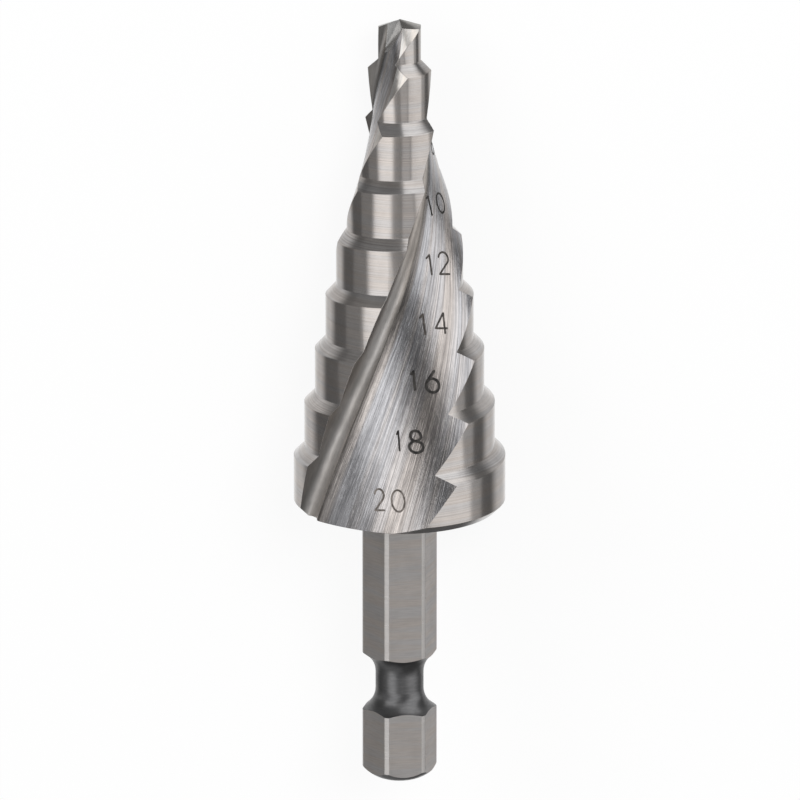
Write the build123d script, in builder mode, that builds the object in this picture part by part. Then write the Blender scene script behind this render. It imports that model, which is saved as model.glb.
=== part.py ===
"""Step drill for holes of 4 to 20 mm in sheet metal, ground from one bar of tool steel.

Nine round steps, each 2 mm wider than the one above it, are joined by chamfers that do
the cutting. Two right-hand flutes run the length of the stepped body, and a split point
stands at the top. Below the body is a quarter inch hexagonal shank with a catch groove
for a quick-change chuck.

Millimetres and degrees. The drill is shaped standing on the middle of its shank's end,
with +Z along its axis to the point, and a turn is a direction about the axis, counted
from +X. At the end it is laid down as it comes to rest: on one flute, point to -Y.
"""
from build123d import *
import math
import os

# Steps of the body
step_count = 9
tip_diameter = 4.0
step_growth = 2.0
step_pitch = 5.33
widest_land_length = 5.32
tip_land_length = 2.94
chamfer_angle = 45.0
back_chamfer = 0.75
point_angle = 135.0

# Relief behind the cutting edges: cones tilt about a level line behind each edge
land_relief = 0.04
chamfer_relief_angle = 3.8
point_relief_angle = 7.0
relief_axis_angle = 45.0

# Turn of the first cutting edge at the back of the body, and how the flute twists
back_edge_turn = -160.2
back_twist_rate = 1.77
twist_rate_growth = 0.0826

# Flute section, on the cone that runs through the middles of the lands
hollow_depth_at_axis = 0.69
hollow_depth_share = 0.077
hollow_width_at_axis = 0.20
hollow_width_share = 0.185
face_straight_depth = 0.4
wall_bulge = 0.051
wall_bulge_growth = 1.25
heel_offset = -0.12
heel_share = 1.008
heel_drop_at_tip = 0.37
beyond_heel_reach = 2.4
beyond_heel_rise = 0.50
beyond_heel_drop_at_tip = 1.5
tip_fade_power = 3
flute_clearance = 2.0
flute_overrun = 0.5
flute_sections = 15

# Split of the point: a notch beside each lip that thins the web to a short chisel edge
split_web = 0.16
split_slope = 63.0
split_wheel_angle = 105.0
split_cut_length = 12.0

# Shank
shank_length = 27.0
hex_across_flats = 6.35
hex_across_corners = 7.08
hex_turn = 10.0
groove_height = 9.65
groove_bottom_diameter = 4.56
groove_bottom_width = 1.6
groove_side_radius = 2.29
groove_side_angle = 75.0
end_flat_diameter = 3.4
end_dome_height = 1.12
end_dome_bulge = 0.17

# Rest: the turn of the side that it lies on, and how far the point then dips
rest_turn = 77.9
rest_dip = 5.92

# Worked out from the sizes above
body_radius = tip_diameter / 2 + step_growth / 2 * (step_count - 1)
chamfer_rise = math.tan(math.radians(chamfer_angle))
point_rise = 1 / math.tan(math.radians(point_angle / 2))
first_rim_height = shank_length + widest_land_length
last_rim_height = first_rim_height + (step_count - 2) * step_pitch
point_base_height = last_rim_height + step_growth / 2 * chamfer_rise + tip_land_length
total_length = point_base_height + tip_diameter / 2 * point_rise
middle_of_widest_land = (shank_length + back_chamfer + first_rim_height) / 2


def step_radius(step):
    """Radius of a step, counted from 0 at the shank."""
    return body_radius - step * step_growth / 2


def rim_height(step):
    """Height at which a step's land meets the chamfer above it, at the cutting edge."""
    return first_rim_height + step * step_pitch


def cone_radius(height):
    """Radius of the cone that runs through the middles of the lands."""
    return body_radius - (height - middle_of_widest_land) * step_growth / 2 / step_pitch


def edge_turn(height):
    """Turn of the first cutting edge at a height of the body."""
    rise = height - shank_length
    return back_edge_turn + back_twist_rate * rise + twist_rate_growth / 2 * rise**2


def ray(length, turn):
    """Point at a distance and a turn from the origin of a plane."""
    return (length * math.cos(math.radians(turn)), length * math.sin(math.radians(turn)))


def bottom_height(step):
    """Height at which a step's land starts."""
    return shank_length if step == 0 else rim_height(step - 1)


def top_height(step):
    """Height at which a step ends, above its chamfer."""
    if step == step_count - 1:
        return total_length
    return rim_height(step) + step_growth / 2 * chamfer_rise


def turned_plane(height, turn):
    """Level plane at a height, with its x axis at a turn."""
    return Plane((0, 0, height), (*ray(1, turn), 0), (0, 0, 1))


def land_section(step):
    """Outline of a step: two half rounds that fall away behind their cutting edges."""
    turn = edge_turn((bottom_height(step) + top_height(step)) / 2)
    with BuildSketch(Plane.XY.offset(bottom_height(step))) as section:
        with BuildLine():
            halves = []
            for half in (0, 180):
                centre = ray(land_relief, turn + 90 + half)
                start = turn - relief_axis_angle - 90 + half
                halves.append(CenterArc(centre, step_radius(step), start, 180))
            Line(halves[0] @ 1, halves[1] @ 0)
            Line(halves[1] @ 1, halves[0] @ 0)
        make_face()
    return section.sketch


def cone_cutter(radius, height, rise, turn, relief_angle, pivot_height, drop):
    """Waste above one land's cone, tilted so that the cone falls away behind its edge.

    The cone passes through the radius at the height and rises by so much for each
    millimetre inwards.
    """
    margin = step_growth
    apex_height = height + radius * rise
    with BuildPart() as cutter:
        with BuildSketch(Plane.XZ):
            Polygon(
                (0, apex_height),
                (radius + margin, height - margin * rise),
                (radius + margin, apex_height + margin),
                (0, apex_height + margin),
                align=None,
            )
        revolve(axis=Axis.Z, revolution_arc=180)
    tilt = Location((0, 0, pivot_height - drop), (0, relief_angle, 0))
    spin = Location((0, 0, 0), (0, 0, turn - relief_axis_angle - 90))
    return cutter.part.moved(spin * tilt * Location((0, 0, -pivot_height)))


def chamfer_cutter(step):
    """Waste above the chamfer at the top of a step."""
    radius = step_radius(step)
    height = rim_height(step)
    lift = math.tan(math.radians(chamfer_relief_angle)) * math.sin(math.radians(relief_axis_angle))
    drop = radius * lift
    turn = edge_turn(height)
    return cone_cutter(radius, height, chamfer_rise, turn, chamfer_relief_angle, height, drop)


def flute_section(height):
    """Section of a flute: a hollow rake face and the long bulging wall beyond it."""
    radius = cone_radius(height)
    corner = (
        radius - hollow_depth_at_axis - hollow_depth_share * radius,
        hollow_width_at_axis + hollow_width_share * radius,
    )
    near_tip = (tip_diameter / 2 / radius) ** tip_fade_power
    heel = (0, heel_offset + heel_share * radius - heel_drop_at_tip * near_tip)
    bulge = wall_bulge * math.dist(corner, heel) ** wall_bulge_growth
    beyond_heel = (
        -beyond_heel_reach,
        radius + beyond_heel_rise - beyond_heel_drop_at_tip * near_tip,
    )
    outside = radius + flute_clearance
    with BuildSketch(turned_plane(height, edge_turn(height))) as section:
        with BuildLine():
            face = Line((outside, 0), (radius - face_straight_depth, 0))
            TangentArc(face @ 1, corner, tangent=face % 1)
            wall = SagittaArc(corner, heel, -bulge)
            TangentArc(heel, beyond_heel, tangent=wall % 1)
            Polyline(beyond_heel, (-outside, outside), (outside, outside), face @ 0)
        make_face()
    return section.sketch


def split_cutter():
    """Notch of the first lip: one side stands along the lip, the other opens into the flute."""
    lip = edge_turn(point_base_height)
    slope = math.radians(split_slope)
    down = (*ray(math.cos(slope), lip), -math.sin(slope))
    start = Vector(0, 0, total_length) + Vector(*ray(split_web / 2, lip + 90), 0)
    start -= Vector(*down) * tip_diameter
    opening = math.radians(90 - split_wheel_angle)
    with BuildPart() as cutter:
        with BuildSketch(Plane(start, ray(1, lip + 90), down)):
            Polygon(
                (0, 0),
                (0, tip_diameter),
                (tip_diameter, tip_diameter),
                (tip_diameter, tip_diameter * math.tan(opening)),
                align=None,
            )
        extrude(amount=split_cut_length)
    return cutter.part


land_outlines = [land_section(step) for step in range(step_count)]
cone_cutters = [chamfer_cutter(step) for step in range(step_count - 1)]
point_cutter = cone_cutter(
    tip_diameter / 2,
    point_base_height,
    point_rise,
    edge_turn(point_base_height),
    point_relief_angle,
    total_length,
    0,
)
cone_cutters.append(point_cutter)
flute_bottom = shank_length - back_chamfer
flute_top = total_length + flute_overrun
flute_heights = [
    flute_bottom + (flute_top - flute_bottom) * number / (flute_sections - 1)
    for number in range(flute_sections)
]
flute_outlines = [flute_section(height) for height in flute_heights]

split_notch = split_cutter()

with BuildPart() as flute_cutter:
    loft(flute_outlines)

# Shank: a hexagon with its corners turned off, a catch groove and a domed end
with BuildPart() as shank:
    with BuildSketch():
        RegularPolygon(hex_across_flats / 2, 6, major_radius=False, rotation=hex_turn)
        Circle(hex_across_corners / 2, mode=Mode.INTERSECT)
    extrude(amount=shank_length)
    with BuildSketch(Plane.XZ):
        with BuildLine():
            low = (groove_bottom_diameter / 2, groove_height - groove_bottom_width / 2)
            high = (groove_bottom_diameter / 2, groove_height + groove_bottom_width / 2)
            Line(low, high)
            upper = JernArc(high, (0, 1), groove_side_radius, -groove_side_angle)
            lower = JernArc(low, (0, -1), groove_side_radius, groove_side_angle)
            upper_outside = (hex_across_flats, (upper @ 1).Y)
            lower_outside = (hex_across_flats, (lower @ 1).Y)
            Polyline(upper @ 1, upper_outside, lower_outside, lower @ 1)
        make_face()
    revolve(axis=Axis.Z, mode=Mode.SUBTRACT)
    with BuildSketch(Plane.XZ):
        with BuildLine():
            flat_edge = (end_flat_diameter / 2, 0)
            dome_edge = (hex_across_corners / 2, end_dome_height)
            dome = SagittaArc(flat_edge, dome_edge, -end_dome_bulge)
            Polyline(
                dome @ 1,
                (hex_across_flats, end_dome_height),
                (hex_across_flats, -end_dome_height),
                (end_flat_diameter / 2, -end_dome_height),
                dome @ 0,
            )
        make_face()
    revolve(axis=Axis.Z, mode=Mode.SUBTRACT)

with BuildPart() as upright_drill:
    for step in range(step_count):
        extrude(land_outlines[step], amount=top_height(step) - bottom_height(step))
        for half in (0, 180):
            with Locations(Location((0, 0, 0), (0, 0, half))):
                add(cone_cutters[step], mode=Mode.SUBTRACT)
    for half in (0, 180):
        with Locations(Location((0, 0, 0), (0, 0, half))):
            add(flute_cutter.part, mode=Mode.SUBTRACT)
            add(split_notch, mode=Mode.SUBTRACT)
    with BuildSketch(Plane.XZ):
        Polygon(
            (body_radius, shank_length + back_chamfer),
            (body_radius - back_chamfer, shank_length),
            (body_radius - back_chamfer, shank_length - back_chamfer),
            (body_radius + back_chamfer, shank_length - back_chamfer),
            (body_radius + back_chamfer, shank_length + back_chamfer),
            align=None,
        )
    revolve(axis=Axis.Z, mode=Mode.SUBTRACT)
    add(shank.part)

# Laid down, with the middle of its box over the origin
facing_down = Location((0, 0, 0), (0, 0, -90 - rest_turn))
tipped_over = Location((0, 0, 0), (90 + rest_dip, 0, 0))
lying_drill = upright_drill.part.moved(tipped_over * facing_down)
lying_box = lying_drill.bounding_box()
with BuildPart() as step_drill:
    with Locations((-lying_box.center().X, -lying_box.center().Y, -lying_box.min.Z)):
        add(lying_drill)

step_drill.part.label = "step_drill"
os.makedirs("parts", exist_ok=True)
export_step(step_drill.part, "parts/step_drill.step")
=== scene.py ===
"""Step drill: finishes, numbers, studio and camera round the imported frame.

Metres. In the row frame the drill lies on the floor, as it comes to rest. Its sizes are
given in a frame of its own: the shank's end at the origin and +Z to the point. A name that
ends in _mm is in millimetres and one that ends in _px in pixels of the photo. A turn is a
direction about the axis, in degrees from +X.
"""
import bpy
import math
from mathutils import Matrix, Vector
from mathutils.bvhtree import BVHTree


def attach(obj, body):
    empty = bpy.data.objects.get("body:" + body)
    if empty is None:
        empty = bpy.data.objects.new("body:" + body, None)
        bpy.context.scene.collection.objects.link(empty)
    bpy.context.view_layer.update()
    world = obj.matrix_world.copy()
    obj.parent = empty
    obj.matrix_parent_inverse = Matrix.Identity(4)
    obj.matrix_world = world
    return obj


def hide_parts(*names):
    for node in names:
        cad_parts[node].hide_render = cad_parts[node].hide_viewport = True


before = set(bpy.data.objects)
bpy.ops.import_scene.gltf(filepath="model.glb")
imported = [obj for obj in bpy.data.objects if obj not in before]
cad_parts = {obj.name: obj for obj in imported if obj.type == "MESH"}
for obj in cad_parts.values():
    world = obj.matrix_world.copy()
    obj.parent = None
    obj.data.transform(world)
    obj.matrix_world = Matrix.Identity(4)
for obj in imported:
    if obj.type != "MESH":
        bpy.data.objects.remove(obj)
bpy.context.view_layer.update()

MM = 0.001

# From the drill's own frame to the row frame
REST_TIP = 95.92
REST_SPIN = -167.9
REST_PLACE_MM = (0.0, 36.913157, 11.973335)
tipped = Matrix.Rotation(math.radians(REST_TIP), 4, "X")
spun = Matrix.Rotation(math.radians(REST_SPIN), 4, "Z")
rest = Matrix.Translation(Vector(REST_PLACE_MM) * MM) @ tipped @ spun
own = rest.inverted()

# Sizes of the solid, as the frame has them
STEP_COUNT = 9
BODY_RADIUS_MM = 10.0
STEP_PITCH_MM = 5.33
FIRST_RIM_MM = 32.32
SHANK_LENGTH_MM = 27.0
BACK_CHAMFER_MM = 0.75
POINT_BASE_MM = 73.57
TOTAL_LENGTH_MM = 74.398
TIP_DIAMETER_MM = 4.0
SPLIT_WEB_MM = 0.16
SPLIT_SLOPE = 63.0
SPLIT_WHEEL_ANGLE = 105.0
BACK_EDGE_TURN = -160.2
TWIST_RATE = 1.77
TWIST_GROWTH = 0.0826
CONE_ZERO_MM = 30.035
CORNER_DEPTH_MM = 0.69
CORNER_DEPTH_SHARE = 0.077
CORNER_WIDTH_MM = 0.20
CORNER_WIDTH_SHARE = 0.185
HEX_FLAT_MM = 3.175
HEX_CORNER_MM = 3.54
HEX_TURN = 10.0


# ---- node helpers

# Colour sockets of a mix node, which has sockets for other kinds of value before them
MIX_FIRST = 6
MIX_SECOND = 7
MIX_RESULT = 2


class Nodes:
    """Short ways to add nodes to one tree."""

    def __init__(self, tree):
        self.tree = tree
        tree.nodes.clear()

    def add(self, kind, **settings):
        node = self.tree.nodes.new(kind)
        for name, value in settings.items():
            setattr(node, name, value)
        return node

    def link(self, value, socket):
        """Join a socket to another one, or set it to a plain value."""
        if isinstance(value, bpy.types.NodeSocket):
            self.tree.links.new(value, socket)
        else:
            socket.default_value = value

    def math(self, operation, a, b=0.0):
        node = self.add("ShaderNodeMath", operation=operation)
        self.link(a, node.inputs[0])
        self.link(b, node.inputs[1])
        return node.outputs[0]

    def weigh(self, a, b, share):
        """Mean of two values, with this share of the second."""
        return self.math("ADD", self.math("MULTIPLY", a, 1 - share), self.math("MULTIPLY", b, share))

    def separate(self, vector):
        node = self.add("ShaderNodeSeparateXYZ")
        self.link(vector, node.inputs[0])
        return node.outputs

    def combine(self, x, y, z):
        node = self.add("ShaderNodeCombineXYZ")
        for value, socket in zip((x, y, z), node.inputs):
            self.link(value, socket)
        return node.outputs[0]

    def grey(self, level):
        return self.combine(level, level, level)

    def stretch(self, vector, x, y, z):
        node = self.add("ShaderNodeVectorMath", operation="MULTIPLY")
        self.link(vector, node.inputs[0])
        node.inputs[1].default_value = (x, y, z)
        return node.outputs[0]

    def ramp(self, value, low, high, bottom=0.0, top=1.0):
        """Smooth step of a value from low to high."""
        node = self.add("ShaderNodeMapRange", interpolation_type="SMOOTHSTEP")
        limits = {"From Min": low, "From Max": high, "To Min": bottom, "To Max": top}
        for name, number in limits.items():
            node.inputs[name].default_value = number
        self.link(value, node.inputs["Value"])
        return node.outputs["Result"]

    def band(self, value, low, high, soft):
        """One between two limits and nothing beyond them, with soft ends."""
        rise = self.ramp(value, low - soft, low + soft)
        fall = self.ramp(value, high - soft, high + soft, 1.0, 0.0)
        return self.math("MULTIPLY", rise, fall)

    def noise(self, vector, scale, detail, roughness):
        node = self.add("ShaderNodeTexNoise")
        self.link(vector, node.inputs["Vector"])
        node.inputs["Scale"].default_value = scale
        node.inputs["Detail"].default_value = detail
        node.inputs["Roughness"].default_value = roughness
        return node.outputs["Fac"]

    def mix(self, factor, a, b, kind="MIX"):
        """Two colours mixed, or put together in another way."""
        node = self.add("ShaderNodeMix", data_type="RGBA", blend_type=kind)
        self.link(factor, node.inputs["Factor"])
        self.link(a, node.inputs[MIX_FIRST])
        self.link(b, node.inputs[MIX_SECOND])
        return node.outputs[MIX_RESULT]

    def multiply(self, a, b):
        return self.mix(1.0, a, b, "MULTIPLY")

    def own_mm(self):
        """Place on the drill, in millimetres of its own frame."""
        place = self.add("ShaderNodeMapping", vector_type="POINT")
        self.link(self.add("ShaderNodeTexCoord").outputs["Object"], place.inputs["Vector"])
        place.inputs["Location"].default_value = own.translation / MM
        place.inputs["Rotation"].default_value = own.to_euler("XYZ")
        place.inputs["Scale"].default_value = (1 / MM, 1 / MM, 1 / MM)
        return place.outputs[0]

    def cone_radius(self):
        """Radius of the cone through the middles of the lands, in millimetres."""
        height = self.separate(self.own_mm())[2]
        return self.math("SUBTRACT", BODY_RADIUS_MM + CONE_ZERO_MM / STEP_PITCH_MM,
                         self.math("DIVIDE", height, STEP_PITCH_MM))

    def along_flute(self):
        """Place turned back to where the first edge lies on +X, divided by the cone's radius."""
        place = self.own_mm()
        rise = self.math("SUBTRACT", self.separate(place)[2], SHANK_LENGTH_MM)
        turn = self.math("MULTIPLY", self.math("MULTIPLY", rise, rise), TWIST_GROWTH / 2)
        turn = self.math("ADD", turn, self.math("MULTIPLY", rise, TWIST_RATE))
        turn = self.math("ADD", turn, BACK_EDGE_TURN)
        spin = self.add("ShaderNodeVectorRotate", rotation_type="Z_AXIS")
        self.link(place, spin.inputs["Vector"])
        self.link(self.math("MULTIPLY", turn, -math.pi / 180), spin.inputs["Angle"])
        radius = self.cone_radius()
        x, y, z = self.separate(spin.outputs[0])
        return self.combine(self.math("DIVIDE", x, radius), self.math("DIVIDE", y, radius), z)

    def line_distance(self, line):
        """Distance in millimetres from a line along the flutes.

        The line is given along and ahead of the cutting edge, each as a share of the cone's
        radius and millimetres to add. The plane x + 2y = 0 parts the two flutes, so that one
        line serves both.
        """
        radius = self.cone_radius()
        x, y, _ = self.separate(self.along_flute())
        flute = self.math("SIGN", self.math("ADD", x, self.math("MULTIPLY", y, 2.0)))
        offsets = []
        for value, (share, extra_mm) in zip((x, y), line):
            place = self.math("MULTIPLY", value, flute)
            offset = self.math("MULTIPLY", self.math("SUBTRACT", place, share), radius)
            offsets.append(self.math("SUBTRACT", offset, extra_mm))
        length = self.add("ShaderNodeVectorMath", operation="LENGTH")
        self.link(self.combine(*offsets, 0.0), length.inputs[0])
        return length.outputs["Value"]


def colour(red, green, blue):
    return (red, green, blue, 1.0)


# ---- finishes

# Lines along the flutes, beside which shade is painted: where the rake face meets the long wall, and
# the cutting edge
ROOT = ((1 - CORNER_DEPTH_SHARE, -CORNER_DEPTH_MM), (CORNER_WIDTH_SHARE, CORNER_WIDTH_MM))
EDGE = ((1.0, 0.0), (0.0, 0.0))

# Grinding marks: fine ones, and coarse ones stretched from them
FINE_DETAIL = 4.0
COARSE_DETAIL = 2.0
COARSE_STRETCH = 0.33
GRAIN_ROUGHNESS = 0.65
ROUGH_RANGE = (0.3, 0.7)
TINT_RANGE = (0.38, 0.62)

# Cloudy patches, the painted shade at the first steps, and the worn edges
PATCH_SCALE = 0.5
PATCH_DETAIL = 3.0
PATCH_ROUGHNESS = 0.55
TIP_SHADE_RADII_MM = (2.5, 4.0)
EDGE_RADIUS_MM = 0.07
EDGE_SAMPLES = 4


def steel(name, light, dark, roughness, rough_spread, lines, depth_mm, coarse_share=0.25,
          tone_spread=0.16, patches=0.35, anisotropic=0.0, tint=None, tint_stretch=0.11,
          painted_shades=(), tip_shade_share=None):
    """Ground steel: lines is (coordinates, (x, y, z stretch)) of its grinding marks.

    A painted shade is a line, where it starts and ends beside that line in millimetres, and the
    share of light that it leaves: shade painted into the colour. A tip shade share is the share of
    colour left at the first steps, shade painted there.
    """
    material = bpy.data.materials.new(name)
    material.use_nodes = True
    nodes = Nodes(material.node_tree)
    out = nodes.add("ShaderNodeOutputMaterial")
    shader = nodes.add("ShaderNodeBsdfPrincipled")
    nodes.link(shader.outputs[0], out.inputs["Surface"])
    shader.inputs["Metallic"].default_value = 1.0
    shader.inputs["Anisotropic"].default_value = anisotropic
    kind, stretches = lines
    coordinates = nodes.along_flute() if kind == "flute" else nodes.own_mm()

    def grain(factor, detail):
        stretched = nodes.stretch(coordinates, *(value * factor for value in stretches))
        return nodes.noise(stretched, 1.0, detail, GRAIN_ROUGHNESS)

    marks = nodes.weigh(grain(1.0, FINE_DETAIL), grain(COARSE_STRETCH, COARSE_DETAIL), coarse_share)
    cloud = nodes.noise(nodes.own_mm(), PATCH_SCALE, PATCH_DETAIL, PATCH_ROUGHNESS)
    tone = nodes.weigh(marks, cloud, patches)
    shade = nodes.mix(nodes.ramp(tone, 0.5 - tone_spread, 0.5 + tone_spread), dark, light)
    if tint:
        warmth = nodes.ramp(grain(tint_stretch, COARSE_DETAIL), *TINT_RANGE)
        shade = nodes.multiply(shade, nodes.mix(warmth, *tint))
    # Painted shade: the colour darkened beside a line along the flutes, in the crease at the root and
    # at the cutting edge
    for line, near, far, share in painted_shades:
        left = nodes.ramp(nodes.line_distance(line), near, far, share, 1.0)
        shade = nodes.multiply(shade, nodes.grey(left))
    # Painted shade: the colour darkened at the first steps, near the point
    if tip_shade_share:
        left = nodes.ramp(nodes.cone_radius(), *TIP_SHADE_RADII_MM, tip_shade_share, 1.0)
        shade = nodes.multiply(shade, nodes.grey(left))
    nodes.link(shade, shader.inputs["Base Color"])
    rough = nodes.ramp(marks, *ROUGH_RANGE, roughness + rough_spread, roughness - rough_spread)
    nodes.link(rough, shader.inputs["Roughness"])

    bump = nodes.add("ShaderNodeBump")
    bump.inputs["Strength"].default_value = 1.0
    bump.inputs["Distance"].default_value = depth_mm * MM
    if kind == "flute":
        depth = nodes.math("MULTIPLY", nodes.cone_radius(), depth_mm * MM / BODY_RADIUS_MM)
        nodes.link(depth, bump.inputs["Distance"])
    nodes.link(marks, bump.inputs["Height"])
    edges = nodes.add("ShaderNodeBevel", samples=EDGE_SAMPLES)
    edges.inputs["Radius"].default_value = EDGE_RADIUS_MM * MM
    nodes.link(edges.outputs[0], bump.inputs["Normal"])
    nodes.link(bump.outputs[0], shader.inputs["Normal"])
    if anisotropic:
        axis = rest.to_3x3() @ Vector((0, 0, 1))
        nodes.link(nodes.combine(*axis), shader.inputs["Tangent"])
    return material


def make_materials():
    """One finish for each kind of surface."""
    turned = ("own", (0.03, 0.03, 9.5))
    faint = (colour(0.985, 0.995, 1.01), colour(1.03, 0.995, 0.965))
    return {
        "land": steel(
            "land_steel", light=colour(0.71, 0.675, 0.652), dark=colour(0.568, 0.534, 0.512),
            roughness=0.17, rough_spread=0.03, lines=turned, depth_mm=0.0014,
            coarse_share=0.1, tone_spread=0.17, anisotropic=0.5, tint=faint,
        ),
        "chamfer": steel(
            "chamfer_steel", light=colour(0.71, 0.685, 0.67), dark=colour(0.485, 0.462, 0.448),
            roughness=0.19, rough_spread=0.04, lines=turned, depth_mm=0.0010,
            coarse_share=0.12, anisotropic=0.5, tint=faint,
        ),
        "wall": steel(
            "wall_steel", light=colour(0.80, 0.78, 0.765), dark=colour(0.40, 0.39, 0.385),
            roughness=0.13, rough_spread=0.04, lines=("flute", (92.0, 92.0, 0.17)), depth_mm=0.048,
            coarse_share=0.36, tone_spread=0.11, patches=0.12,
            tint=(colour(0.96, 0.98, 1.035), colour(1.05, 0.99, 0.955)), tint_stretch=0.04,
            # Painted shade: the colour darkened beside the root of the rake face and at the first
            # steps
            painted_shades=((ROOT, 0.08, 0.7, 0.40),), tip_shade_share=0.58,
        ),
        "heel": steel(
            "heel_steel", light=colour(0.90, 0.865, 0.825), dark=colour(0.78, 0.75, 0.715),
            roughness=0.24, rough_spread=0.04, lines=("flute", (22.0, 22.0, 0.3)), depth_mm=0.012,
            tint=faint,
        ),
        "rake": steel(
            # Painted shade and highlight: raised light colours, darkened at the cutting edge and in a
            # thin line at the root, so the face is brightest beside its root
            "rake_steel", light=colour(0.84, 0.80, 0.765), dark=colour(0.64, 0.61, 0.58),
            roughness=0.46, rough_spread=0.05, lines=("flute", (26.0, 26.0, 0.4)), depth_mm=0.004,
            tint=faint, painted_shades=((ROOT, 0.02, 0.22, 0.5), (EDGE, 0.25, 2.3, 0.40)),
        ),
        "notch": steel(
            "notch_steel", light=colour(0.72, 0.71, 0.70), dark=colour(0.56, 0.555, 0.55),
            roughness=0.26, rough_spread=0.04, lines=("own", (1.4, 1.4, 1.4)), depth_mm=0.0003,
        ),
        "point": steel(
            "point_steel", light=colour(0.50, 0.485, 0.465), dark=colour(0.36, 0.35, 0.335),
            roughness=0.24, rough_spread=0.05, lines=("own", (5.0, 5.0, 5.0)), depth_mm=0.003,
        ),
        "flat": steel(
            "hexagon_steel", light=colour(0.735, 0.705, 0.685), dark=colour(0.612, 0.582, 0.562),
            roughness=0.45, rough_spread=0.05, lines=("own", (0.6, 0.6, 9.0)), depth_mm=0.0016,
            coarse_share=0.1, tone_spread=0.2, tint=faint,
        ),
        "corner": steel(
            "corner_steel", light=colour(0.57, 0.55, 0.535), dark=colour(0.49, 0.472, 0.458),
            roughness=0.30, rough_spread=0.05, lines=turned, depth_mm=0.001,
        ),
        "groove": steel(
            "groove_steel", light=colour(0.235, 0.233, 0.235), dark=colour(0.175, 0.176, 0.18),
            roughness=0.34, rough_spread=0.05, lines=("own", (1.2, 1.2, 6.0)), depth_mm=0.0006,
        ),
    }


# ---- the drill's own mesh, with a finish for each surface

# What tells the surfaces apart: slack in millimetres, and parts of a face's unit normal
AT_BODY_MM = 0.001
SHANK_RISE = 0.01
CORNER_SLACK_MM = 0.02
FLAT_SLACK_MM = 0.01
FLAT_FACING = 0.9995
NOTCH_SLACK_MM = 0.01
NOTCH_FACING = 0.999
BACK_CHAMFER_RISE = -0.5
POINT_REACH_MM = 1.0
POINT_RISE = 0.85
LAND_RISE = 0.012
LAND_OUTWARD = 0.97
LAND_SLACK_MM = 0.12
CHAMFER_RISE = (0.6, 0.8)
CHAMFER_OUTWARD = 0.55
RAKE_BEHIND_MM = 0.3
RAKE_AHEAD_SLACK_MM = 0.02
RAKE_ALONG_SLACK_MM = 0.25
HEEL_BASE_MM = 63.0
HEEL_AHEAD_MM = 0.4
AT_AXIS_MM = 1e-6


def edge_turn(height):
    """Turn of the first cutting edge at a height."""
    rise = height - SHANK_LENGTH_MM
    return BACK_EDGE_TURN + TWIST_RATE * rise + TWIST_GROWTH / 2 * rise**2


def cone_radius(height):
    """Radius of the cone through the middles of the lands."""
    return BODY_RADIUS_MM - (height - CONE_ZERO_MM) / STEP_PITCH_MM


def shank_region(place, normal):
    """Kind of surface on the shank. Its domed end has the groove's finish."""
    if abs(normal.z) > SHANK_RISE:
        return "groove"
    x, y, _ = place
    if math.hypot(x, y) > HEX_CORNER_MM - CORNER_SLACK_MM:
        return "corner"
    for side in range(6):
        turn = math.radians(HEX_TURN + 30 + 60 * side)
        facing = normal.x * math.cos(turn) + normal.y * math.sin(turn)
        distance = x * math.cos(turn) + y * math.sin(turn)
        if facing > FLAT_FACING and distance > HEX_FLAT_MM - FLAT_SLACK_MM:
            return "flat"
    return "groove"


def notch_planes():
    """A point and a normal for each side of the two notches that split the point."""
    planes = []
    slope = math.radians(SPLIT_SLOPE)
    opening = math.radians(SPLIT_WHEEL_ANGLE - 90)
    top = Vector((0, 0, TOTAL_LENGTH_MM))
    for half in (0.0, math.pi):
        lip = math.radians(edge_turn(POINT_BASE_MM)) + half
        outward = Vector((math.cos(lip), math.sin(lip), 0))
        across = Vector((-math.sin(lip), math.cos(lip), 0))
        down = outward * math.cos(slope) - Vector((0, 0, math.sin(slope)))
        start = top + across * (SPLIT_WEB_MM / 2) - down * TIP_DIAMETER_MM
        planes.append((start, across))
        planes.append((start, across * math.sin(opening) + down.cross(across) * math.cos(opening)))
    return planes


notches = notch_planes()


def flute_region(place):
    """Kind of surface in a flute: rake face, heel near the point, or the long wall."""
    x, y, z = place
    cone = cone_radius(z)
    corner_along = cone - CORNER_DEPTH_MM - CORNER_DEPTH_SHARE * cone
    corner_ahead = CORNER_WIDTH_MM + CORNER_WIDTH_SHARE * cone
    region = "wall"
    for half in (0.0, 180.0):
        turn = math.radians(edge_turn(z) + half)
        along = x * math.cos(turn) + y * math.sin(turn)
        ahead = y * math.cos(turn) - x * math.sin(turn)
        beside_edge = -RAKE_BEHIND_MM < ahead < corner_ahead - RAKE_AHEAD_SLACK_MM
        if beside_edge and along > corner_along - RAKE_ALONG_SLACK_MM:
            return "rake"
        if z > HEEL_BASE_MM and ahead > HEEL_AHEAD_MM and along < 0:
            region = "heel"
    return region


def body_region(place, normal):
    """Kind of surface on the stepped body."""
    x, y, z = place
    if z > POINT_BASE_MM - TIP_DIAMETER_MM:
        for start, across in notches:
            near = abs((place - start).dot(across)) < NOTCH_SLACK_MM
            if near and abs(normal.dot(across)) > NOTCH_FACING:
                return "notch"
    radius = math.hypot(x, y)
    outward = (normal.x * x + normal.y * y) / max(radius, AT_AXIS_MM)
    if z < SHANK_LENGTH_MM + BACK_CHAMFER_MM and normal.z < BACK_CHAMFER_RISE:
        return "chamfer"
    if z > POINT_BASE_MM - POINT_REACH_MM and normal.z > POINT_RISE:
        return "point"
    if abs(normal.z) < LAND_RISE and outward > LAND_OUTWARD:
        above = int((z - FIRST_RIM_MM) / STEP_PITCH_MM) + 1
        step = 0 if z < FIRST_RIM_MM else min(above, STEP_COUNT - 1)
        if radius > BODY_RADIUS_MM - step - LAND_SLACK_MM:
            return "land"
    if CHAMFER_RISE[0] < normal.z < CHAMFER_RISE[1] and outward > CHAMFER_OUTWARD:
        return "chamfer"
    return flute_region(place)


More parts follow.
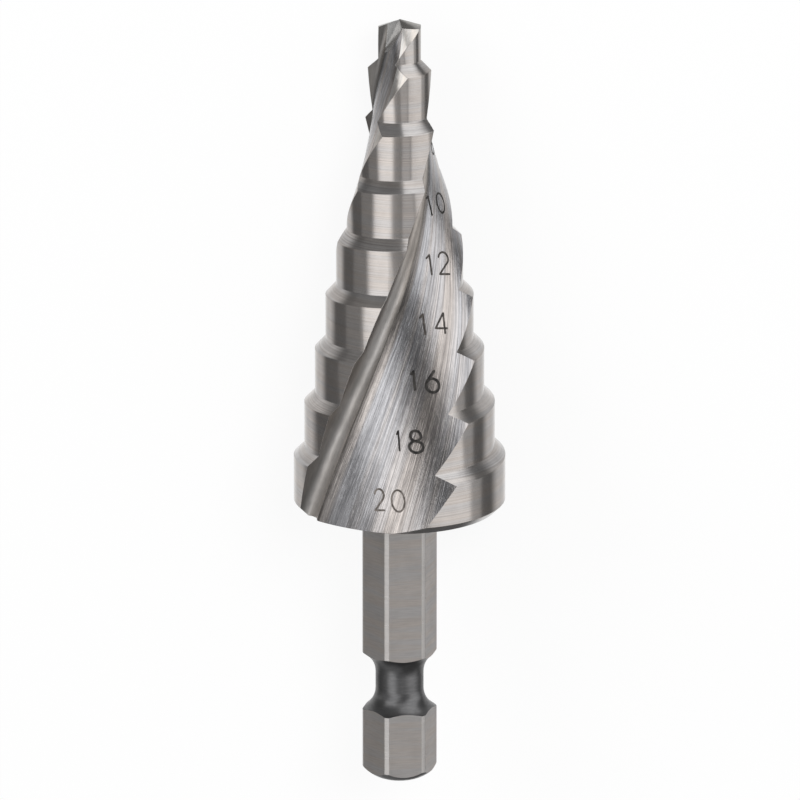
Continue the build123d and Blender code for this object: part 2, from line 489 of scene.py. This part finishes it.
def dress_drill(materials):
    """The CAD mesh with a material for each kind of surface."""
    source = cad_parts["step_drill"]
    mesh = source.data.copy()
    mesh.name = "drill"
    mesh.materials.clear()
    names = list(materials)
    for name in names:
        mesh.materials.append(materials[name])
    turn = own.to_3x3()
    for face in mesh.polygons:
        place = own @ face.center / MM
        find = body_region if place.z > SHANK_LENGTH_MM - AT_BODY_MM else shank_region
        face.material_index = names.index(find(place, turn @ face.normal))
    drill = bpy.data.objects.new("drill", mesh)
    bpy.context.scene.collection.objects.link(drill)
    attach(drill, "root")
    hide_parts("step_drill")
    return drill


# ---- camera: the photo's view, 17 degrees above a plane square to the drill

IMAGE_SIZE_PX = 800
AXIS_PX = 399.55
CAMERA_ELEVATION = 17.0
CAMERA_DISTANCE_MM = 1000.0
CAMERA_TARGET_MM = 37.3
PIXELS_PER_MM = 10.62
FOCAL_PX = PIXELS_PER_MM * CAMERA_DISTANCE_MM
SENSOR_MM = 36.0
CLIP_START = 0.01
CLIP_END = 20.0

elevation = math.radians(CAMERA_ELEVATION)
look = Vector((0, math.cos(elevation), -math.sin(elevation)))
upward = Vector((0, math.sin(elevation), math.cos(elevation)))
camera_place = Vector((0, 0, CAMERA_TARGET_MM)) - CAMERA_DISTANCE_MM * look


def make_camera():
    data = bpy.data.cameras.new("camera")
    data.sensor_width = SENSOR_MM
    data.lens = FOCAL_PX * SENSOR_MM / IMAGE_SIZE_PX
    data.shift_x = (IMAGE_SIZE_PX / 2 - AXIS_PX) / IMAGE_SIZE_PX
    data.clip_start = CLIP_START
    data.clip_end = CLIP_END
    camera = bpy.data.objects.new("camera", data)
    place = Matrix.Translation(camera_place * MM)
    camera.matrix_world = rest @ place @ Matrix.Rotation(math.pi / 2 - elevation, 4, "X")
    bpy.context.scene.collection.objects.link(camera)
    bpy.context.scene.camera = camera


# ---- numbers beside the steps, on the long wall of one flute

ROUND_POINTS = 28
POINT_GAP_PX = 0.8
LOOP_GAP_PX = 0.01
FEWEST_POINTS = 3

# A stroke stands a little proud of the wall and is rooted in it. Its middle runs inside the
# digit's box, and its free ends are narrower.
STROKE_TOP_MM = 0.012
STROKE_ROOT_MM = 0.02
STROKE_SECTION = ((-1, -STROKE_ROOT_MM), (1, -STROKE_ROOT_MM), (1, STROKE_TOP_MM), (-1, STROKE_TOP_MM))
STROKE_INSET_PX = 1.2
STROKE_END_SHARE = 0.55


def oval(x, y, wide, high, start, end):
    """Points of part of an oval, in a glyph's box of one by one."""
    points = []
    for number in range(ROUND_POINTS + 1):
        angle = math.radians(start + (end - start) * number / ROUND_POINTS)
        points.append((x + wide * math.cos(angle), y + high * math.sin(angle)))
    return points


GLYPHS = {
    "0": [oval(0.5, 0.5, 0.5, 0.5, 90, 450)],
    "1": [[(0.0, 0.80), (0.95, 1.0), (1.0, 0.0)]],
    "2": [oval(0.5, 0.70, 0.46, 0.30, 172, -28) + [(0.0, 0.0), (1.0, 0.0)]],
    "4": [[(0.74, 0.0), (0.74, 1.0), (0.0, 0.27), (1.0, 0.27)]],
    "6": [[(0.74, 1.0), (0.30, 0.66), (0.07, 0.42)], oval(0.5, 0.31, 0.5, 0.31, 150, 510)],
    "8": [oval(0.5, 0.765, 0.38, 0.235, -90, 270), oval(0.5, 0.265, 0.5, 0.265, 90, 450)],
}

# Each number: its finish, the degrees that the camera goes round the drill to face it, its
# lean, and for each digit the stroke in millimetres and the left, top, right and bottom of
# its box in pixels
FIGURES = (
    ("number_8", "dark", 80.0, 0.0, (
        ("8", 0.20, (399.2, 141.0, 415.9, 164.5)),
    )),
    ("number_10", "dark", 0.0, 0.20, (
        ("1", 0.21, (425.4, 195.0, 431.4, 217.0)),
        ("0", 0.20, (435.8, 192.0, 445.2, 214.0)),
    )),
    ("number_12", "brown", 0.0, 0.12, (
        ("1", 0.20, (425.4, 253.6, 431.9, 276.5)),
        ("2", 0.20, (437.4, 251.0, 450.1, 275.3)),
    )),
    ("number_14", "brown", 0.0, 0.11, (
        ("1", 0.22, (419.0, 313.0, 425.4, 336.5)),
        ("4", 0.20, (434.0, 311.6, 448.6, 335.2)),
    )),
    ("number_16", "dark", 0.0, 0.07, (
        ("1", 0.27, (410.0, 370.0, 415.5, 392.0)),
        ("6", 0.27, (424.6, 369.0, 440.0, 393.6)),
    )),
    ("number_18", "dark", 0.0, 0.07, (
        ("1", 0.18, (395.6, 429.6, 400.2, 452.6)),
        ("8", 0.27, (407.8, 429.6, 424.0, 454.0)),
    )),
    ("number_20", "pale", 0.0, 0.07, (
        ("2", 0.19, (373.4, 487.8, 385.6, 511.5)),
        ("0", 0.18, (390.5, 489.0, 405.8, 513.0)),
    )),
)


def glyph_path(glyph, box, lean):
    """Points of a glyph in its digit's box of the photo, leaning about the box's middle."""
    left, top, right, bottom = box
    left, right = left + STROKE_INSET_PX, right - STROKE_INSET_PX
    top, bottom = top + STROKE_INSET_PX, bottom - STROKE_INSET_PX
    wide = right - left
    high = bottom - top
    return [(left + wide * u + lean * high * (0.5 - v), bottom - high * v) for u, v in glyph]


def spread(points):
    """Points along a path, a small gap apart."""
    result = [points[0]]
    for (x, y), (end_x, end_y) in zip(points, points[1:]):
        count = max(1, round(math.dist((x, y), (end_x, end_y)) / POINT_GAP_PX))
        for number in range(1, count + 1):
            share = number / count
            result.append((x + (end_x - x) * share, y + (end_y - y) * share))
    return result


def on_surface(tree, x, y, view):
    """Place and normal of the wall at a point of the view, in millimetres, or None beyond it."""
    aside = (x - AXIS_PX) / FOCAL_PX
    below = (y - IMAGE_SIZE_PX / 2) / FOCAL_PX
    ray = look + Vector((1, 0, 0)) * aside - upward * below
    place, normal, _, _ = tree.ray_cast(view @ camera_place * MM, view @ ray.normalized())
    if place is None or normal.dot(view @ look) > 0:
        return None
    return place / MM, normal


def stroke(tree, points, view, width_mm, vertices, faces):
    """Closed ribbons along a path, one for each run of it that lies on the wall."""
    run = []
    whole = True
    for x, y in points:
        found = on_surface(tree, x, y, view)
        if found:
            run.append(found)
        else:
            whole = False
            ribbon(run, False, width_mm, vertices, faces)
            run = []
    closed = whole and math.dist(points[0], points[-1]) < LOOP_GAP_PX
    ribbon(run[:-1] if closed else run, closed, width_mm, vertices, faces)


def ribbon(path, closed, width_mm, vertices, faces):
    """One closed ribbon through places on a surface."""
    count = len(path)
    if count < FEWEST_POINTS:
        return
    corners = len(STROKE_SECTION)
    base = len(vertices)
    for number, (place, normal) in enumerate(path):
        before = path[(number - 1) % count if closed else max(number - 1, 0)][0]
        after = path[(number + 1) % count if closed else min(number + 1, count - 1)][0]
        side = (after - before).cross(normal).normalized()
        width = width_mm / 2
        if not closed and number in (0, count - 1):
            width *= STROKE_END_SHARE
        for across, rise in STROKE_SECTION:
            vertices.append((place + side * across * width + normal * rise) * MM)
    for number in range(count if closed else count - 1):
        here = base + corners * number
        there = base + corners * ((number + 1) % count)
        for corner in range(corners):
            other = (corner + 1) % corners
            faces.append((here + corner, here + other, there + other, there + corner))
    if not closed:
        last = base + corners * (count - 1)
        faces.append(tuple(reversed(range(base, base + corners))))
        faces.append(tuple(range(last, last + corners)))


# Oxide that fills the marks
OXIDE_METALLIC = 0.5
OXIDE_ROUGHNESS = 0.5
OXIDE_STRETCH = (20.0, 20.0, 2.0)
OXIDE_DETAIL = 3.0
OXIDE_GRAIN_ROUGHNESS = 0.6
WORN_RANGE = (0.35, 0.7)


def mark_material(name, deep, pale):
    """Oxide left by marking: dark, with paler worn places."""
    material = bpy.data.materials.new(name)
    material.use_nodes = True
    nodes = Nodes(material.node_tree)
    out = nodes.add("ShaderNodeOutputMaterial")
    shader = nodes.add("ShaderNodeBsdfPrincipled")
    nodes.link(shader.outputs[0], out.inputs["Surface"])
    shader.inputs["Metallic"].default_value = OXIDE_METALLIC
    shader.inputs["Roughness"].default_value = OXIDE_ROUGHNESS
    stretched = nodes.stretch(nodes.along_flute(), *OXIDE_STRETCH)
    worn = nodes.noise(stretched, 1.0, OXIDE_DETAIL, OXIDE_GRAIN_ROUGHNESS)
    nodes.link(nodes.mix(nodes.ramp(worn, *WORN_RANGE), deep, pale), shader.inputs["Base Color"])
    return material


def make_numbers(drill, wall_index):
    """The step sizes, as thin strokes on the faces that have the wall's finish."""
    tree = BVHTree.FromPolygons(
        [own @ vertex.co for vertex in drill.data.vertices],
        [tuple(face.vertices) for face in drill.data.polygons if face.material_index == wall_index],
    )
    finishes = {
        "dark": mark_material("mark_dark", colour(0.020, 0.019, 0.019), colour(0.07, 0.065, 0.06)),
        "brown": mark_material("mark_brown", colour(0.045, 0.040, 0.037), colour(0.14, 0.125, 0.115)),
        "pale": mark_material("mark_pale", colour(0.09, 0.078, 0.07), colour(0.26, 0.23, 0.21)),
    }
    for name, finish, round_drill, lean, digits in FIGURES:
        vertices, faces = [], []
        view = Matrix.Rotation(math.radians(round_drill), 3, "Z")
        for digit, width_mm, box in digits:
            for glyph in GLYPHS[digit]:
                points = spread(glyph_path(glyph, box, lean))
                stroke(tree, points, view, width_mm, vertices, faces)
        mesh = bpy.data.meshes.new(name)
        mesh.from_pydata([rest @ vertex for vertex in vertices], [], faces)
        mesh.materials.append(finishes[finish])
        figure = bpy.data.objects.new(name, mesh)
        bpy.context.scene.collection.objects.link(figure)
        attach(figure, "root")


# ---- studio

# Soft boxes that only reflections show: left, right, low and high edge in degrees round the
# drill and above its level, softness of the sides and of the ends, and brightness
SOFT_BOXES = (
    (-60.0, -17.0, -45.0, 36.0, 8.0, 10.0, 1.06),
    (-66.0, -17.0, -4.0, 36.0, 7.0, 4.0, 1.06),
    (-94.0, -60.0, -45.0, 0.0, 4.0, 10.0, 0.22),
    (-24.0, 6.0, -45.0, -8.0, 4.0, 4.0, 0.235),
    (4.0, 29.0, -31.0, -10.0, 4.0, 5.0, 0.55),
    (30.0, 86.0, -31.0, 0.0, 5.0, 5.0, 0.86),
    (26.0, 84.0, -6.0, 60.0, 6.0, 4.0, 1.04),
    (84.0, 102.0, -45.0, -8.0, 4.0, 4.0, 0.36),
    (-32.0, 50.0, 29.0, 40.0, 6.0, 2.5, 1.0),
    (4.0, 108.0, 42.0, 110.0, 16.0, 6.0, 1.04),
    (-200.0, 200.0, 40.0, 110.0, 6.0, 10.0, 0.22),
    (-200.0, 200.0, -4.0, 44.0, 6.0, 4.0, 0.14),
    (-200.0, 20.0, -110.0, -45.0, 10.0, 8.0, 0.34),
    (-175.0, -80.0, -8.0, 8.0, 8.0, 3.0, 0.42),
)
DARK_ROOM = 0.12
# Light from behind: where it starts and is full on both sides, and its brightness
BEHIND = ((112.0, 138.0, 0.60), (146.0, 172.0, 0.28))
BEHIND_RISE = (-50.0, -34.0)
BEHIND_FALL = (32.0, 52.0)
# The boxes lean aside by so many degrees between these heights
LEAN = 23.0
LEAN_RISE = (-14.0, -6.0)
LEAN_FALL = (-2.0, 21.0)
EVEN_LIGHT = 0.62
WHITE = colour(1.0, 1.0, 1.0)

# Each lamp: its name, its place, its size, and its power in watts
LAMPS = (
    ("key", (-0.5, -0.6, 0.9), 0.5, 6.0),
    ("fill", (0.7, -0.5, 0.6), 0.6, 3.0),
)
LAMP_AIM = (0, 0, 0.04)

FLOOR_HALF = 6.0
FLOOR_COLOUR = colour(0.9, 0.9, 0.9)
FLOOR_GLOW_SHARE = 0.88


def reflected_level(nodes, azimuth, height):
    """Brightness of the studio in a direction, in degrees to the right and up."""
    lean = nodes.math("MULTIPLY", nodes.ramp(height, *LEAN_RISE),
                      nodes.ramp(height, *LEAN_FALL, LEAN, 0.0))
    aside = nodes.math("ABSOLUTE", azimuth)
    azimuth = nodes.math("SUBTRACT", azimuth, lean)
    level = DARK_ROOM
    for left, right, low, high, soft_side, soft_end, bright in SOFT_BOXES:
        across = nodes.band(azimuth, left, right, soft_side)
        along = nodes.band(height, low, high, soft_end)
        box = nodes.math("MULTIPLY", nodes.math("MULTIPLY", across, along), bright)
        level = nodes.math("MAXIMUM", level, box)
    behind = 0.0
    for start, end, bright in BEHIND:
        behind = nodes.math("ADD", behind, nodes.ramp(aside, start, end, 0.0, bright))
    behind = nodes.math("MULTIPLY", behind, nodes.ramp(height, *BEHIND_RISE))
    behind = nodes.math("MULTIPLY", behind, nodes.ramp(height, *BEHIND_FALL, 1.0, 0.0))
    return nodes.math("MAXIMUM", level, behind)


def make_world():
    """White backdrop and even light; soft boxes in a dark room for reflections."""
    world = bpy.data.worlds.new("studio")
    bpy.context.scene.world = world
    world.use_nodes = True
    nodes = Nodes(world.node_tree)
    turned = nodes.add("ShaderNodeMapping", vector_type="VECTOR")
    nodes.link(nodes.add("ShaderNodeTexCoord").outputs["Generated"], turned.inputs["Vector"])
    turned.inputs["Rotation"].default_value = own.to_euler("XYZ")
    x, y, z = nodes.separate(turned.outputs[0])
    bearing = nodes.math("ARCTAN2", x, nodes.math("MULTIPLY", y, -1.0))
    azimuth = nodes.math("MULTIPLY", bearing, 180 / math.pi)
    height = nodes.math("MULTIPLY", nodes.math("ARCSINE", z), 180 / math.pi)

    studio = nodes.add("ShaderNodeBackground")
    nodes.link(nodes.grey(reflected_level(nodes, azimuth, height)), studio.inputs["Color"])
    even = nodes.add("ShaderNodeBackground")
    even.inputs["Color"].default_value = WHITE
    even.inputs["Strength"].default_value = EVEN_LIGHT
    white = nodes.add("ShaderNodeBackground")
    white.inputs["Color"].default_value = WHITE
    path = nodes.add("ShaderNodeLightPath")
    shiny = nodes.add("ShaderNodeMixShader")
    nodes.link(path.outputs["Is Glossy Ray"], shiny.inputs[0])
    nodes.link(even.outputs[0], shiny.inputs[1])
    nodes.link(studio.outputs[0], shiny.inputs[2])
    seen = nodes.add("ShaderNodeMixShader")
    nodes.link(path.outputs["Is Camera Ray"], seen.inputs[0])
    nodes.link(shiny.outputs[0], seen.inputs[1])
    nodes.link(white.outputs[0], seen.inputs[2])
    out = nodes.add("ShaderNodeOutputWorld")
    nodes.link(seen.outputs[0], out.inputs["Surface"])


def make_lamp(name, place, size, power):
    """A round lamp that faces the drill and that reflections don't show."""
    data = bpy.data.lights.new(name, "AREA")
    data.shape = "DISK"
    data.size = size
    data.energy = power
    lamp = bpy.data.objects.new(name, data)
    lamp.location = place
    lamp.rotation_euler = (Vector(LAMP_AIM) - Vector(place)).to_track_quat("-Z", "Y").to_euler()
    lamp.visible_glossy = False
    bpy.context.scene.collection.objects.link(lamp)


def make_floor():
    """Pale floor: near white where it is lit, and it keeps the object's shadow."""
    corners = [(-1, -1, 0), (1, -1, 0), (1, 1, 0), (-1, 1, 0)]
    mesh = bpy.data.meshes.new("floor")
    mesh.from_pydata([Vector(corner) * FLOOR_HALF for corner in corners], [], [(0, 1, 2, 3)])
    material = bpy.data.materials.new("floor_white")
    material.use_nodes = True
    nodes = Nodes(material.node_tree)
    out = nodes.add("ShaderNodeOutputMaterial")
    plain = nodes.add("ShaderNodeBsdfDiffuse")
    plain.inputs["Color"].default_value = FLOOR_COLOUR
    glow = nodes.add("ShaderNodeEmission")
    glow.inputs["Color"].default_value = WHITE
    path = nodes.add("ShaderNodeLightPath")
    mixed = nodes.add("ShaderNodeMixShader")
    share = nodes.math("MULTIPLY", path.outputs["Is Camera Ray"], FLOOR_GLOW_SHARE)
    nodes.link(share, mixed.inputs[0])
    nodes.link(plain.outputs[0], mixed.inputs[1])
    nodes.link(glow.outputs[0], mixed.inputs[2])
    nodes.link(mixed.outputs[0], out.inputs["Surface"])
    mesh.materials.append(material)
    floor = bpy.data.objects.new("floor", mesh)
    floor.visible_glossy = False
    bpy.context.scene.collection.objects.link(floor)


materials = make_materials()
make_numbers(dress_drill(materials), list(materials).index("wall"))
make_camera()
make_world()
for lamp in LAMPS:
    make_lamp(*lamp)
make_floor()
bpy.context.scene.view_settings.view_transform = "Standard"
